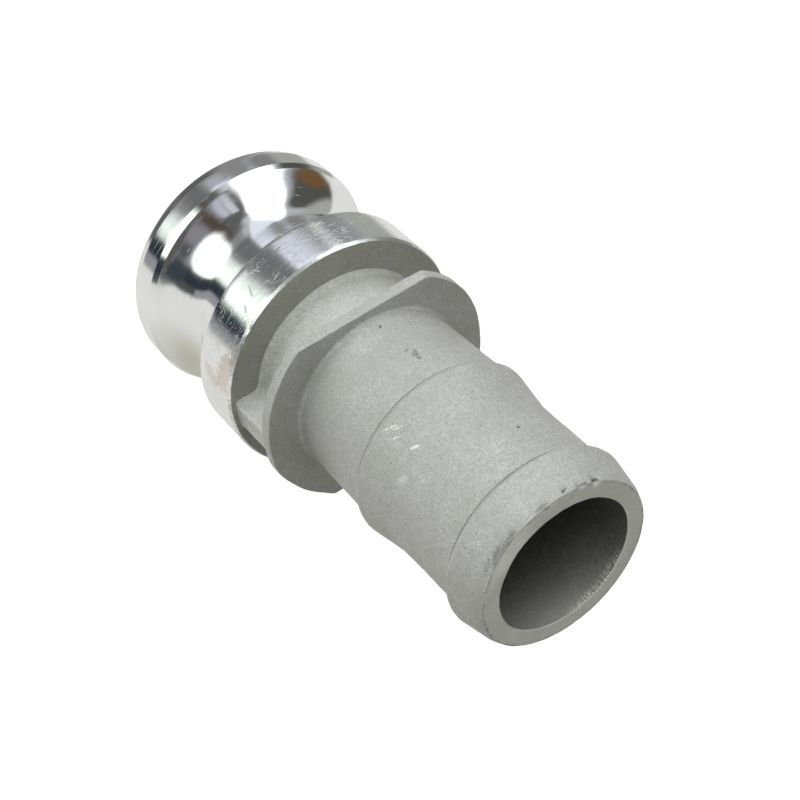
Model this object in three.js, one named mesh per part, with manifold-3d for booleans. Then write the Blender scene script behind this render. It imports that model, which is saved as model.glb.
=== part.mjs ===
// Cam-and-groove hose shank adapter, size DN40 (1 1/2 in), one aluminium casting modelled in its named sections.
// Frame: millimetres, +Z along the flow axis from the sealing face to the hose end, z = 0 on the sealing face.
// The two wrench flats face +Y and -Y; the two side ribs lie at +X and -X.
import * as THREE from 'three';
import { mergeVertices } from 'three/addons/utils/BufferGeometryUtils.js';
import Module from 'manifold-3d';

const wasm = await Module();
wasm.setup();

// Facets round the flow axis, and steps along each rounded stretch of an outline.
const ROUND_SEGMENTS = 72;
const GROOVE_ARC_STEPS = 7;
const FILLET_STEPS = 4;

// Bore: wide through the cam head, narrower through the shank, with a small chamfer at the sealing face.
const HEAD_BORE_RADIUS = 16.0;
const SHANK_BORE_RADIUS = 14.6;
const BORE_MOUTH_CHAMFER = 0.6;

// Sealing rim, the part the female coupler's gasket presses on.
const RIM_RADIUS = 26.7;
const RIM_FACE_RADIUS = 25.8;
const RIM_BEVEL_RADIUS = 26.25;
const RIM_BEVEL_Z = 0.9;
const RIM_LAND_START_Z = 2.6;
const RIM_LAND_END_Z = 7.15;
const RIM_BACK_Z = 8.4;
const RIM_BACK_RADIUS = 26.1;

// Cam groove: a concave flare from the rim down to a straight neck, where the coupler's cams press.
const GROOVE_RADIUS = 20.0;
const GROOVE_ARC_END_Z = 17.5;

// Stop collar behind the groove, turned outside and chamfered on its back edge.
const COLLAR_FRONT_Z = 28.4;
const COLLAR_BACK_Z = 39.9;
const COLLAR_RADIUS = 26.7;
const COLLAR_CHAMFER_R = 0.35;
const COLLAR_CHAMFER_Z = 0.7;

// Neck between the collar and the wrench flange, with one rib on each side.
const NECK_RADIUS = 19.2;
const NECK_FILLET = 2.0;
const RIB_OUTER_X = 25.1;
const RIB_THICKNESS = 6.2;
const RIB_EDGE_CHAMFER = 0.7;

// Wrench flange: a thin disc with two flats.
const FLANGE_FRONT_Z = 50.3;
const FLANGE_BACK_Z = 52.9;
const FLANGE_RADIUS = 25.7;
const FLANGE_FLAT_Y = 20.8;
const FLANGE_EDGE_CHAMFER = 0.5;

// Hose shank: a slightly conical root, then two barbs with a straight land between them.
const ROOT_RADIUS = 18.5;
const ROOT_END_RADIUS = 19.15;
const ROOT_FILLET = 2.0;
const MIDDLE_BARB_Z = 73.7;
const MIDDLE_BARB_CREST_Z = 75.2;
const MIDDLE_BARB_END_Z = 84.1;
const LAND_RADIUS = 18.7;
const END_BARB_Z = 101.6;
const END_BARB_CREST_Z = 103.1;
const BARB_CREST_RADIUS = 20.3;
const BARB_CREST_FLAT = 0.5;
const TAPER_END_Z = 109.7;
const TAPER_END_RADIUS = 19.0;
const SHANK_END_Z = 111.3;
const SHANK_END_RADIUS = 18.3;

const CUT_MARGIN = 10;

function point(radius, z) {
  return new THREE.Vector2(radius, z);
}

// Points on an arc in the profile plane, angles in degrees from the radial direction towards +Z.
function arc(centreRadius, centreZ, radius, fromDegrees, toDegrees, steps) {
  const points = [];
  for (let step = 0; step <= steps; step += 1) {
    const degrees = fromDegrees + ((toDegrees - fromDegrees) * step) / steps;
    const angle = THREE.MathUtils.degToRad(degrees);
    points.push(point(centreRadius + radius * Math.cos(angle), centreZ + radius * Math.sin(angle)));
  }
  return points;
}

// A ring about +Z. The outline runs up the outside from front to back, then down the inside.
function ring(outline) {
  const closed = [...outline, outline[0].clone()];
  const geometry = new THREE.LatheGeometry(closed, ROUND_SEGMENTS);
  geometry.rotateX(Math.PI / 2);
  return geometry;
}

function toSolid(geometry) {
  const bare = geometry.index ? geometry.clone() : geometry;
  bare.deleteAttribute('normal');
  bare.deleteAttribute('uv');
  const merged = mergeVertices(bare, 1e-4);
  const vertProperties = Float32Array.from(merged.attributes.position.array);
  const triVerts = Uint32Array.from(merged.index.array);
  return new wasm.Manifold(new wasm.Mesh({ numProp: 3, vertProperties, triVerts }));
}

function toGeometry(solid) {
  const mesh = solid.getMesh();
  const geometry = new THREE.BufferGeometry();
  geometry.setAttribute('position', new THREE.BufferAttribute(Float32Array.from(mesh.vertProperties), 3));
  geometry.setIndex(new THREE.BufferAttribute(Uint32Array.from(mesh.triVerts), 1));
  geometry.computeVertexNormals();
  return geometry;
}

// A prism along X whose cross-section is given as [y, z] corners.
function prismAlongX(corners, fromX, toX) {
  const shape = new THREE.Shape(corners.map(([y, z]) => new THREE.Vector2(y, z)));
  const geometry = new THREE.ExtrudeGeometry(shape, { depth: toX - fromX, bevelEnabled: false });
  geometry.rotateX(Math.PI / 2);
  geometry.rotateZ(Math.PI / 2);
  geometry.translate(fromX, 0, 0);
  return geometry;
}

// A prism along Z whose cross-section is given as [x, y] corners.
function prismAlongZ(corners, fromZ, toZ) {
  const shape = new THREE.Shape(corners.map(([x, y]) => new THREE.Vector2(x, y)));
  const geometry = new THREE.ExtrudeGeometry(shape, { depth: toZ - fromZ, bevelEnabled: false });
  geometry.translate(0, 0, fromZ);
  return geometry;
}

function sealingRim() {
  return ring([
    point(RIM_FACE_RADIUS, 0),
    point(RIM_BEVEL_RADIUS, RIM_BEVEL_Z),
    point(RIM_RADIUS, RIM_LAND_START_Z),
    point(RIM_RADIUS, RIM_LAND_END_Z),
    point(RIM_BACK_RADIUS, RIM_BACK_Z),
    point(HEAD_BORE_RADIUS, RIM_BACK_Z),
    point(HEAD_BORE_RADIUS, BORE_MOUTH_CHAMFER),
    point(HEAD_BORE_RADIUS + BORE_MOUTH_CHAMFER, 0),
  ]);
}

// The concave arc ends tangent to the straight floor of the groove.
function grooveFlare() {
  const rise = RIM_BACK_RADIUS - GROOVE_RADIUS;
  const run = GROOVE_ARC_END_Z - RIM_BACK_Z;
  const arcRadius = (rise * rise + run * run) / (2 * rise);
  const sweep = THREE.MathUtils.radToDeg(Math.asin(run / arcRadius));
  const centreRadius = GROOVE_RADIUS + arcRadius;
  return ring([
    ...arc(centreRadius, GROOVE_ARC_END_Z, arcRadius, 180 + sweep, 180, GROOVE_ARC_STEPS),
    point(HEAD_BORE_RADIUS, GROOVE_ARC_END_Z),
    point(HEAD_BORE_RADIUS, RIM_BACK_Z),
  ]);
}

function grooveNeck() {
  return ring([
    point(GROOVE_RADIUS, GROOVE_ARC_END_Z),
    point(GROOVE_RADIUS, COLLAR_FRONT_Z),
    point(HEAD_BORE_RADIUS, COLLAR_FRONT_Z),
    point(HEAD_BORE_RADIUS, GROOVE_ARC_END_Z),
  ]);
}

function stopCollar() {
  return ring([
    point(COLLAR_RADIUS, COLLAR_FRONT_Z),
    point(COLLAR_RADIUS, COLLAR_BACK_Z - COLLAR_CHAMFER_Z),
    point(COLLAR_RADIUS - COLLAR_CHAMFER_R, COLLAR_BACK_Z),
    point(HEAD_BORE_RADIUS, COLLAR_BACK_Z),
    point(HEAD_BORE_RADIUS, COLLAR_FRONT_Z),
  ]);
}

// One side rib, chamfered along its two outer edges. It runs into the neck wall and stops short of the bore.
function sideRib(side) {
  const half = RIB_THICKNESS / 2;
  const inner = (HEAD_BORE_RADIUS + NECK_RADIUS) / 2;
  const corners = [
    [inner, -half],
    [RIB_OUTER_X - RIB_EDGE_CHAMFER, -half],
    [RIB_OUTER_X, RIB_EDGE_CHAMFER - half],
    [RIB_OUTER_X, half - RIB_EDGE_CHAMFER],
    [RIB_OUTER_X - RIB_EDGE_CHAMFER, half],
    [inner, half],
  ];
  const rib = prismAlongZ(corners, COLLAR_BACK_Z, FLANGE_FRONT_Z);
  if (side < 0) {
    rib.rotateZ(Math.PI);
  }
  return rib;
}

function ribbedNeck() {
  const filletRadius = NECK_RADIUS + NECK_FILLET;
  const tube = ring([
    ...arc(filletRadius, COLLAR_BACK_Z + NECK_FILLET, NECK_FILLET, 270, 180, FILLET_STEPS),
    ...arc(filletRadius, FLANGE_FRONT_Z - NECK_FILLET, NECK_FILLET, 180, 90, FILLET_STEPS),
    point(SHANK_BORE_RADIUS, FLANGE_FRONT_Z),
    point(HEAD_BORE_RADIUS, COLLAR_BACK_Z),
  ]);
  const ribbed = toSolid(tube).add(toSolid(sideRib(1))).add(toSolid(sideRib(-1)));
  return toGeometry(ribbed);
}

function wrenchFlange() {
  const edge = FLANGE_EDGE_CHAMFER;
  const disc = ring([
    point(FLANGE_RADIUS - edge, FLANGE_FRONT_Z),
    point(FLANGE_RADIUS, FLANGE_FRONT_Z + edge),
    point(FLANGE_RADIUS, FLANGE_BACK_Z - edge),
    point(FLANGE_RADIUS - edge, FLANGE_BACK_Z),
    point(SHANK_BORE_RADIUS, FLANGE_BACK_Z),
    point(SHANK_BORE_RADIUS, FLANGE_FRONT_Z),
  ]);
  const acrossFlats = [
    [edge - FLANGE_FLAT_Y, FLANGE_FRONT_Z],
    [FLANGE_FLAT_Y - edge, FLANGE_FRONT_Z],
    [FLANGE_FLAT_Y, FLANGE_FRONT_Z + edge],
    [FLANGE_FLAT_Y, FLANGE_BACK_Z - edge],
    [FLANGE_FLAT_Y - edge, FLANGE_BACK_Z],
    [edge - FLANGE_FLAT_Y, FLANGE_BACK_Z],
    [-FLANGE_FLAT_Y, FLANGE_BACK_Z - edge],
    [-FLANGE_FLAT_Y, FLANGE_FRONT_Z + edge],
  ];
  const reach = FLANGE_RADIUS + CUT_MARGIN;
  const slab = prismAlongX(acrossFlats, -reach, reach);
  return toGeometry(toSolid(disc).intersect(toSolid(slab)));
}

function shankRoot() {
  const filletRadius = ROOT_RADIUS + ROOT_FILLET;
  return ring([
    ...arc(filletRadius, FLANGE_BACK_Z + ROOT_FILLET, ROOT_FILLET, 270, 180, FILLET_STEPS),
    point(ROOT_END_RADIUS, MIDDLE_BARB_Z),
    point(SHANK_BORE_RADIUS, MIDDLE_BARB_Z),
    point(SHANK_BORE_RADIUS, FLANGE_BACK_Z),
  ]);
}

function middleBarb() {
  return ring([
    point(ROOT_END_RADIUS, MIDDLE_BARB_Z),
    point(BARB_CREST_RADIUS, MIDDLE_BARB_CREST_Z - BARB_CREST_FLAT),
    point(BARB_CREST_RADIUS, MIDDLE_BARB_CREST_Z),
    point(LAND_RADIUS, MIDDLE_BARB_END_Z),
    point(SHANK_BORE_RADIUS, MIDDLE_BARB_END_Z),
    point(SHANK_BORE_RADIUS, MIDDLE_BARB_Z),
  ]);
}

function shankLand() {
  return ring([
    point(LAND_RADIUS, MIDDLE_BARB_END_Z),
    point(LAND_RADIUS, END_BARB_Z),
    point(SHANK_BORE_RADIUS, END_BARB_Z),
    point(SHANK_BORE_RADIUS, MIDDLE_BARB_END_Z),
  ]);
}

function endBarb() {
  return ring([
    point(LAND_RADIUS, END_BARB_Z),
    point(BARB_CREST_RADIUS, END_BARB_CREST_Z - BARB_CREST_FLAT),
    point(BARB_CREST_RADIUS, END_BARB_CREST_Z),
    point(TAPER_END_RADIUS, TAPER_END_Z),
    point(SHANK_END_RADIUS, SHANK_END_Z),
    point(SHANK_BORE_RADIUS, SHANK_END_Z),
    point(SHANK_BORE_RADIUS, END_BARB_Z),
  ]);
}

function machined() {
  return new THREE.MeshStandardMaterial({ color: 0xc9cbcd, roughness: 0.2, metalness: 1.0 });
}

function asCast() {
  return new THREE.MeshStandardMaterial({ color: 0xabaaa2, roughness: 0.65, metalness: 0.9 });
}

function section(name, geometry, material) {
  const mesh = new THREE.Mesh(geometry, material);
  mesh.name = name;
  return mesh;
}

const adapter = new THREE.Group();
adapter.name = 'camlock_hose_shank_adapter';
adapter.add(section('sealing_rim', sealingRim(), machined()));
adapter.add(section('groove_flare', grooveFlare(), machined()));
adapter.add(section('groove_neck', grooveNeck(), machined()));
adapter.add(section('stop_collar', stopCollar(), machined()));
adapter.add(section('ribbed_neck', ribbedNeck(), asCast()));
adapter.add(section('wrench_flange', wrenchFlange(), asCast()));
adapter.add(section('shank_root', shankRoot(), asCast()));
adapter.add(section('middle_barb', middleBarb(), asCast()));
adapter.add(section('shank_land', shankLand(), asCast()));
adapter.add(section('end_barb', endBarb(), asCast()));

export default adapter;
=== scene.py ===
"""Looks for the cam-and-groove hose shank adapter: one casting with a turned head and an as-cast hose shank.

Lengths in the modelling code are millimetres in the part's frame, and meshes are written in metres.
Angles round the part are degrees from +X towards +Y.
"""

import math

import bpy
import numpy as np
from mathutils import Matrix, Vector, noise


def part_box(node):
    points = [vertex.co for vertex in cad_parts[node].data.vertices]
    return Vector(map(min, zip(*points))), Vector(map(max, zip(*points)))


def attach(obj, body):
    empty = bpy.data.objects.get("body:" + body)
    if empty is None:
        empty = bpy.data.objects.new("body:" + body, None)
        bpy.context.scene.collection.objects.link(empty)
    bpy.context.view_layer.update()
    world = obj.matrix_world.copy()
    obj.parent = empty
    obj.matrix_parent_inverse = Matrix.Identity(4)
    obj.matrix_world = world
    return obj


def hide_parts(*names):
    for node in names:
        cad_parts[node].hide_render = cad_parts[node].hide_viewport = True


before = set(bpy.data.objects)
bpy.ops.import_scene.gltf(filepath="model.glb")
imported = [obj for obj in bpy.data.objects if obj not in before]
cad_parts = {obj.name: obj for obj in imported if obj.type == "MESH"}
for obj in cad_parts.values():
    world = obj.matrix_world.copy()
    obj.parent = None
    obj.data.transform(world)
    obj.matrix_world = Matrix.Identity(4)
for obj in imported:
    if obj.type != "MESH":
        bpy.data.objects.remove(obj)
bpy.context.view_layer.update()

MM = 0.001


def level(node):
    """The z of a CAD node's upper face, in mm."""
    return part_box(node)[1].z / MM


def reach(node, axis=0):
    """How far a CAD node reaches along +X or +Y, in mm."""
    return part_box(node)[1][axis] / MM


# Heights of the planes between the sections, and their radii, from the CAD model.
RIM_BACK = level("sealing_rim")
GROOVE_STRAIGHT = level("groove_flare")
GROOVE_END = level("groove_neck")
COLLAR_BACK = level("stop_collar")
NECK_END = level("ribbed_neck")
FLANGE_BACK = level("wrench_flange")
ROOT_END = level("shank_root")
BARB_END = level("middle_barb")
LAND_END = level("shank_land")
SHANK_END = level("end_barb")
RIM_RADIUS = reach("sealing_rim")
GROOVE_RADIUS = reach("groove_neck")
COLLAR_RADIUS = reach("stop_collar")
RIB_REACH = reach("ribbed_neck")
FLANGE_RADIUS = reach("wrench_flange")
FLAT_REACH = reach("wrench_flange", 1)
LAND_RADIUS = reach("shank_land")
CREST_RADIUS = reach("middle_barb")

# Sizes that a node's box doesn't give, in mm.
HEAD_BORE = 16.0
SHANK_BORE = 14.6
RIM_FACE_RADIUS = 25.8
RIM_BEVEL_RADIUS = 26.25
RIM_BEVEL_Z = 0.9
RIM_LAND_START = 2.6
RIM_LAND_END = 7.15
RIM_BACK_RADIUS = 26.1
COLLAR_CHAMFER_R = 0.35
COLLAR_CHAMFER_Z = 0.7
BORE_CHAMFER = 0.6
NECK_RADIUS = 19.2
NECK_FILLET = 1.2
RIB_HALF_THICKNESS = 3.1
ROOT_RADIUS = 18.5
ROOT_TOP_RADIUS = 19.15
ROOT_FILLET = 0.8
FLANGE_ROUNDING = 0.28
BARB_STEP = 0.45
BARB_STEP_LENGTH = 0.4
BARB_RISE = 1.4
CREASE_DEPTH = 0.14
CREASE_WIDTH = 0.25
# The dark line of painted shade in a crease: how far its middle lies below the section's end, and how far
# from its middle it begins to fade and is gone.
CREASE_SHADE_BELOW = 0.05
CREASE_SHADE_CORE = 0.08
CREASE_SHADE_EDGE = 0.22
TAPER_TOP = 109.7
TAPER_TOP_RADIUS = 19.0
END_RADIUS = 18.3

# How far a cast section is let into the face of the next one, so that no seam opens between them.
EMBED = 0.3

# Steps of a mesh: round a turned piece, round a softened corner, and along a profile in mm.
ROUND_STEPS = 400
ARC_STEPS = 5
FINE = 0.4
MEDIUM = 1.0
COARSE = 4.0
# Edges that bend by more degrees than this are shaded sharp.
SHARP_ANGLE = 38
# Rows of a profile closer than this to a height or a radius lie on it.
SAME_HEIGHT = 1e-6
SAME_RADIUS = 0.01


# ---------------------------------------------------------------- surface relief

# Feature sizes and heights of the cast skin, in mm, and the place in the noise where it is read.
CAST_RELIEF = ((7.0, 0.10), (2.4, 0.05), (1.1, 0.03))
NOISE_PLACE = Vector((17.3, 5.1, 9.7))


def cast_relief(points):
    """The smooth random relief of the cast skin at points (n, 3): a sum of noises, in mm."""
    total = np.zeros(len(points))
    for size, height in CAST_RELIEF:
        values = [noise.noise(Vector(point) + NOISE_PLACE) for point in points / size]
        total += height * np.array(values)
    return total


def on_surface(radius, z, degrees):
    """The point at a radius, a height and an angle round the part."""
    angle = math.radians(degrees)
    return np.array([radius * math.cos(angle), radius * math.sin(angle), z])


def dents(points, features):
    """Dents (negative depth) and bumps, each given as (radius, z, degrees, width, depth)."""
    total = np.zeros(len(points))
    for radius, z, degrees, width, depth in features:
        away = np.linalg.norm(points - on_surface(radius, z, degrees), axis=1)
        total += depth * np.exp(-((away / width) ** 2))
    return total


def cast_surface(points, features=()):
    """How far the cast skin stands out at points (n, 3), in mm, with its dents."""
    return cast_relief(points) + dents(points, features)


# ---------------------------------------------------------------- profiles and rings

class Corner:
    """A corner of a closed profile. step, slot and rough describe the stretch that leaves it."""

    def __init__(self, radius, z, rounding=0.0, step=COARSE, slot=0, rough=False):
        self.at = np.array([radius, z], float)
        self.rounding = rounding
        self.step = step
        self.slot = slot
        self.rough = rough


def round_corner(before, corner, after):
    """Points of an arc of the corner's rounding radius, tangent to the two stretches that meet in it."""
    if corner.rounding <= 0:
        return [corner.at]
    back = before.at - corner.at
    ahead = after.at - corner.at
    back_length = np.linalg.norm(back)
    ahead_length = np.linalg.norm(ahead)
    back /= back_length
    ahead /= ahead_length
    half = 0.5 * math.acos(np.clip(back @ ahead, -1, 1))
    # The arc takes less than half of each stretch, so that two arcs never meet.
    most = 0.48
    cut = min(corner.rounding / math.tan(half), most * back_length, most * ahead_length)
    radius = cut * math.tan(half)
    middle = (back + ahead) / np.linalg.norm(back + ahead)
    centre = corner.at + middle * radius / math.sin(half)
    start = corner.at + back * cut - centre
    end = corner.at + ahead * cut - centre
    span = math.acos(np.clip(start @ end / radius ** 2, -1, 1))
    arc = []
    for weight in np.linspace(0, 1, ARC_STEPS + 1):
        turned = math.sin((1 - weight) * span) * start + math.sin(weight * span) * end
        arc.append(centre + turned / math.sin(span))
    return arc


def profile_rows(corners):
    """(radius and z, slot, rough) of each row of a closed profile, with arcs at rounded corners."""
    count = len(corners)
    arcs = [round_corner(corners[i - 1], corners[i], corners[(i + 1) % count]) for i in range(count)]
    rows = []
    slots = []
    rough = []
    for i, corner in enumerate(corners):
        previous = corners[i - 1]
        for number, point in enumerate(arcs[i]):
            inside = number < len(arcs[i]) - 1
            rows.append(point)
            slots.append(previous.slot if inside and number < len(arcs[i]) / 2 else corner.slot)
            rough.append(corner.rough or (previous.rough and (inside or corner.rounding == 0)))
        start = arcs[i][-1]
        end = arcs[(i + 1) % count][0]
        pieces = max(1, int(round(np.linalg.norm(end - start) / corner.step)))
        for number in range(1, pieces):
            rows.append(start + (end - start) * number / pieces)
            slots.append(corner.slot)
            rough.append(corner.rough)
    return np.array(rows), slots, np.array(rough, bool)


def grid_mesh(name, points, row_slots, materials):
    """A closed mesh from points (rows, columns, 3) in mm, joined round in both directions."""
    rows, columns = points.shape[:2]
    index = np.arange(rows * columns).reshape(rows, columns)
    below = index
    above = np.roll(index, -1, axis=0)
    faces = np.stack([below, np.roll(below, -1, axis=1), np.roll(above, -1, axis=1), above], axis=-1)
    mesh = bpy.data.meshes.new(name)
    mesh.from_pydata((points.reshape(-1, 3) * MM).tolist(), [], faces.reshape(-1, 4).tolist())
    for material in materials:
        mesh.materials.append(material)
    mesh.polygons.foreach_set("material_index", np.repeat(row_slots, columns))
    mesh.polygons.foreach_set("use_smooth", np.ones(rows * columns, bool))
    mesh.set_sharp_from_angle(angle=math.radians(SHARP_ANGLE))
    mesh.update()
    return mesh


def place(name, mesh, slot, *nodes):
    """Makes a piece of a mesh: it stands for the given CAD nodes and rides on the part's one body."""
    piece = bpy.data.objects.new(name, mesh)
    bpy.context.scene.collection.objects.link(piece)
    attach(piece, "root")
    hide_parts(*nodes)


def profile_normals(rows):
    """Outward normals (radius, z) of a closed profile, from the rows on each side."""
    along = np.roll(rows, -1, axis=0) - np.roll(rows, 1, axis=0)
    normals = np.stack([along[:, 1], -along[:, 0]], axis=1)
    return normals / np.maximum(np.linalg.norm(normals, axis=1, keepdims=True), 1e-9)


def spin(rows, angles):
    """Points (rows, angles, 3) of a profile turned about Z."""
    radius = rows[:, 0][:, None]
    height = np.repeat(rows[:, 1][:, None], len(angles), axis=1)
    return np.stack([radius * np.cos(angles), radius * np.sin(angles), height], axis=-1)


def turned_piece(name, corners, materials, surface=None, joins=()):
    """A ring with the given profile. surface(points) moves its rough rows along their normals.
    A row at a height in joins moves radially instead, as the same row of the next section does."""
    rows, slots, rough = profile_rows(corners)
    angles = np.linspace(0, 2 * math.pi, ROUND_STEPS, endpoint=False)
    points = spin(rows, angles)
    if surface is not None and rough.any():
        normals = profile_normals(rows)
        for z in joins:
            normals[np.abs(rows[:, 1] - z) < SAME_HEIGHT] = (1, 0)
        # A rough row on the bore's wall faces the bore.
        in_bore = rows[:, 0] < SHANK_BORE + SAME_RADIUS
        normals[in_bore & (normals[:, 0] > 0)] = (-1, 0)
        chosen = points[rough]
        move = surface(chosen.reshape(-1, 3)).reshape(chosen.shape[:2])
        outward = normals[rough]
        chosen[..., 0] += move * outward[:, 0][:, None] * np.cos(angles)
        chosen[..., 1] += move * outward[:, 0][:, None] * np.sin(angles)
        chosen[..., 2] += move * outward[:, 1][:, None]
        points[rough] = chosen
    return grid_mesh(name, points, slots, materials)


# ---------------------------------------------------------------- materials

class Nodes:
    """A short way to write node trees."""

    def __init__(self, tree):
        self.tree = tree
        tree.nodes.clear()

    def add(self, kind, inputs=None, **settings):
        node = self.tree.nodes.new(kind)
        for name, value in settings.items():
            setattr(node, name, value)
        for name, value in (inputs or {}).items():
            self.feed(node.inputs[name], value)
        return node

    def feed(self, socket, value):
        if isinstance(value, bpy.types.NodeSocket):
            self.tree.links.new(value, socket)
        else:
            socket.default_value = value

    def math(self, operation, first, second=0.0, third=0.0):
        return self.add("ShaderNodeMath", {0: first, 1: second, 2: third}, operation=operation).outputs[0]

    def dot(self, first, second):
        settings = {0: first, 1: second}
        return self.add("ShaderNodeVectorMath", settings, operation="DOT_PRODUCT").outputs["Value"]

    def split(self, vector):
        """The x, y and z of a vector."""
        return self.add("ShaderNodeSeparateXYZ", {0: vector}).outputs

    def stretch(self, vector, scale):
        """A scaled place. Noise that is read there is drawn out along an axis with a small scale."""
        return self.add("ShaderNodeMapping", {"Vector": vector, "Scale": scale}).outputs[0]

    def noise(self, vector, size_mm, detail=2.0, roughness=0.5, distortion=0.0):
        """Noise of the given feature size, from 0 to 1, about 0.5."""
        settings = {"Vector": vector, "Scale": 1.0 / (size_mm * MM), "Detail": detail}
        settings["Roughness"] = roughness
        settings["Distortion"] = distortion
        return self.add("ShaderNodeTexNoise", settings).outputs[0]

    def remap(self, value, low, high, to_low=0.0, to_high=1.0, smooth=False):
        kind = "SMOOTHSTEP" if smooth else "LINEAR"
        settings = {0: value, 1: low, 2: high, 3: to_low, 4: to_high}
        return self.add("ShaderNodeMapRange", settings, interpolation_type=kind, clamp=True).outputs[0]

    def blend(self, factor, first, second):
        """Mixes two colours."""
        mix = self.add("ShaderNodeMix", data_type="RGBA")
        self.feed(mix.inputs[0], factor)
        self.feed(mix.inputs[6], first)
        self.feed(mix.inputs[7], second)
        return mix.outputs[2]

    def bump(self, height, depth_mm, strength=1.0, normal=None):
        inputs = {"Height": height, "Distance": depth_mm * MM, "Strength": strength}
        if normal is not None:
            inputs["Normal"] = normal
        return self.add("ShaderNodeBump", inputs).outputs[0]


def grey(value, warmth=0.0):
    """A grey as a colour. Warmth takes away blue."""
    return (value, value, value * (1 - 2 * warmth), 1.0)


def start_material(name):
    """A new material with its node helper, its shader and the place on the part that its noises read."""
    material = bpy.data.materials.new(name)
    material.use_nodes = True
    nodes = Nodes(material.node_tree)
    shader = nodes.add("ShaderNodeBsdfPrincipled")
    output = nodes.add("ShaderNodeOutputMaterial")
    nodes.feed(output.inputs["Surface"], shader.outputs["BSDF"])
    place_on_part = nodes.add("ShaderNodeTexCoord").outputs["Object"]
    return material, nodes, shader, place_on_part


def round_place(nodes, place_on_part, radius):
    """The place unrolled at a radius in mm: distance round the part, then height, both in metres."""
    x, y, z = nodes.split(place_on_part)
    around = nodes.math("MULTIPLY", nodes.math("ARCTAN2", y, x), radius * MM)
    return nodes.add("ShaderNodeCombineXYZ", {0: around, 1: z}).outputs[0]


def streaks(nodes, unrolled, tilt, length_mm, width_mm, low, high):
    """Short scratches that run at tilt degrees from the way round the part. They show where the noise
    passes low, and fully where it passes high."""
    settings = {"Vector": unrolled, "Rotation": (0, 0, math.radians(tilt))}
    turned = nodes.add("ShaderNodeMapping", settings).outputs[0]
    thin = nodes.stretch(turned, (width_mm / length_mm, 1, 1))
    return nodes.remap(nodes.noise(thin, width_mm, 2.0, 0.5, 0.3), low, high, smooth=True)


def spot(nodes, place_on_part, total, mark):
    """1 on one mark (radius, z, degrees, length, width, tilt) of the surface and 0 away from it.
    Its tilt is measured from the axis, in degrees. total is a noise that makes its outline ragged."""
    radius, z, degrees, length, width, tilt = mark
    depth = 3.0
    outward = np.array([math.cos(math.radians(degrees)), math.sin(math.radians(degrees)), 0.0])
    around = np.array([-outward[1], outward[0], 0.0])
    axis = np.array([0.0, 0.0, 1.0])
    slant = math.radians(tilt)
    along = axis * math.cos(slant) + around * math.sin(slant)
    across = around * math.cos(slant) - axis * math.sin(slant)
    at = tuple(on_surface(radius, z, degrees) * MM)
    away = nodes.add("ShaderNodeVectorMath", {0: place_on_part, 1: at}, operation="SUBTRACT").outputs[0]
    for direction, size in ((along, length / 2), (across, width / 2), (outward, depth)):
        part = nodes.dot(away, tuple(direction / (size * MM)))
        total = nodes.math("MULTIPLY_ADD", part, part, total)
    return nodes.remap(total, 0.7, 1.3, 1.0, 0.0, smooth=True)


def turned_aluminium(name="turned_aluminium", wear=0.0, stains=()):
    """Bright turned metal: fine rings round the axis, faint scuffs and patches of haze.
    wear adds scratches, and stains lie over them."""
    material, nodes, shader, place_on_part = start_material(name)
    unrolled = round_place(nodes, place_on_part, TURNED_RADIUS)
    # Rings: noise that changes fast along Z and slowly round the part.
    rings = nodes.noise(nodes.stretch(unrolled, (0.004, 1, 1)), 0.45, 4.0, 0.62)
    haze = nodes.noise(place_on_part, 9.0, 3.0, 0.55)
    scuffs = nodes.noise(nodes.stretch(unrolled, (1.0, 2.4, 1.0)), 1.8, 6.0, 0.72, 1.2)
    scuffed = nodes.remap(scuffs, 0.60 - 0.05 * wear, 0.72 - 0.06 * wear, 0.0, 1.0, smooth=True)
    scratches = streaks(nodes, unrolled, tilt=4, length_mm=7.0, width_mm=0.22, low=0.67, high=0.75)
    if wear:
        slanted = streaks(nodes, unrolled, tilt=38, length_mm=2.6, width_mm=0.20, low=0.64, high=0.72)
        upright = streaks(nodes, unrolled, tilt=97, length_mm=2.0, width_mm=0.24, low=0.66, high=0.74)
        rubbed = nodes.remap(nodes.noise(place_on_part, 6.0, 2.0, 0.5), 0.50, 0.58, smooth=True)
        crossed = nodes.math("MULTIPLY", nodes.math("MAXIMUM", slanted, upright), rubbed)
        scratches = nodes.math("MAXIMUM", scratches, crossed)
    nodes.feed(shader.inputs["Metallic"], 1.0)
    tint = nodes.blend(nodes.remap(haze, 0.35, 0.7), grey(0.90, -0.008), grey(0.84, 0.01))
    worn = nodes.blend(nodes.math("MULTIPLY", scuffed, 0.35), tint, grey(0.66))
    worn = nodes.blend(nodes.math("MULTIPLY", scratches, 0.2 + 0.25 * wear), worn, grey(0.95))
    ragged = nodes.remap(nodes.noise(place_on_part, 1.2, 5.0, 0.7), 0.3, 0.7, -0.9, 0.9)
    rough = nodes.remap(haze, 0.3, 0.75, 0.08, 0.14 + 0.03 * wear)
    for *stain, stain_colour in stains:
        mask = spot(nodes, place_on_part, ragged, (COLLAR_RADIUS, *stain))
        worn = nodes.blend(nodes.math("MULTIPLY", mask, 0.5), worn, stain_colour)
        rough = nodes.math("MULTIPLY_ADD", mask, 0.2, rough)
    nodes.feed(shader.inputs["Base Color"], worn)
    rough = nodes.math("MULTIPLY_ADD", scuffed, 0.16 + 0.1 * wear, rough)
    nodes.feed(shader.inputs["Roughness"], nodes.math("MULTIPLY_ADD", scratches, 0.2, rough))
    fine = nodes.bump(rings, 0.012, 0.6)
    cuts = nodes.bump(scratches, 0.02 + 0.02 * wear, 0.6, fine)
    dings = nodes.bump(scuffs, 0.03 * wear, 0.5, cuts) if wear else cuts
    nodes.feed(shader.inputs["Normal"], nodes.bump(haze, 0.05, 0.5, dings))
    return material


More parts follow.
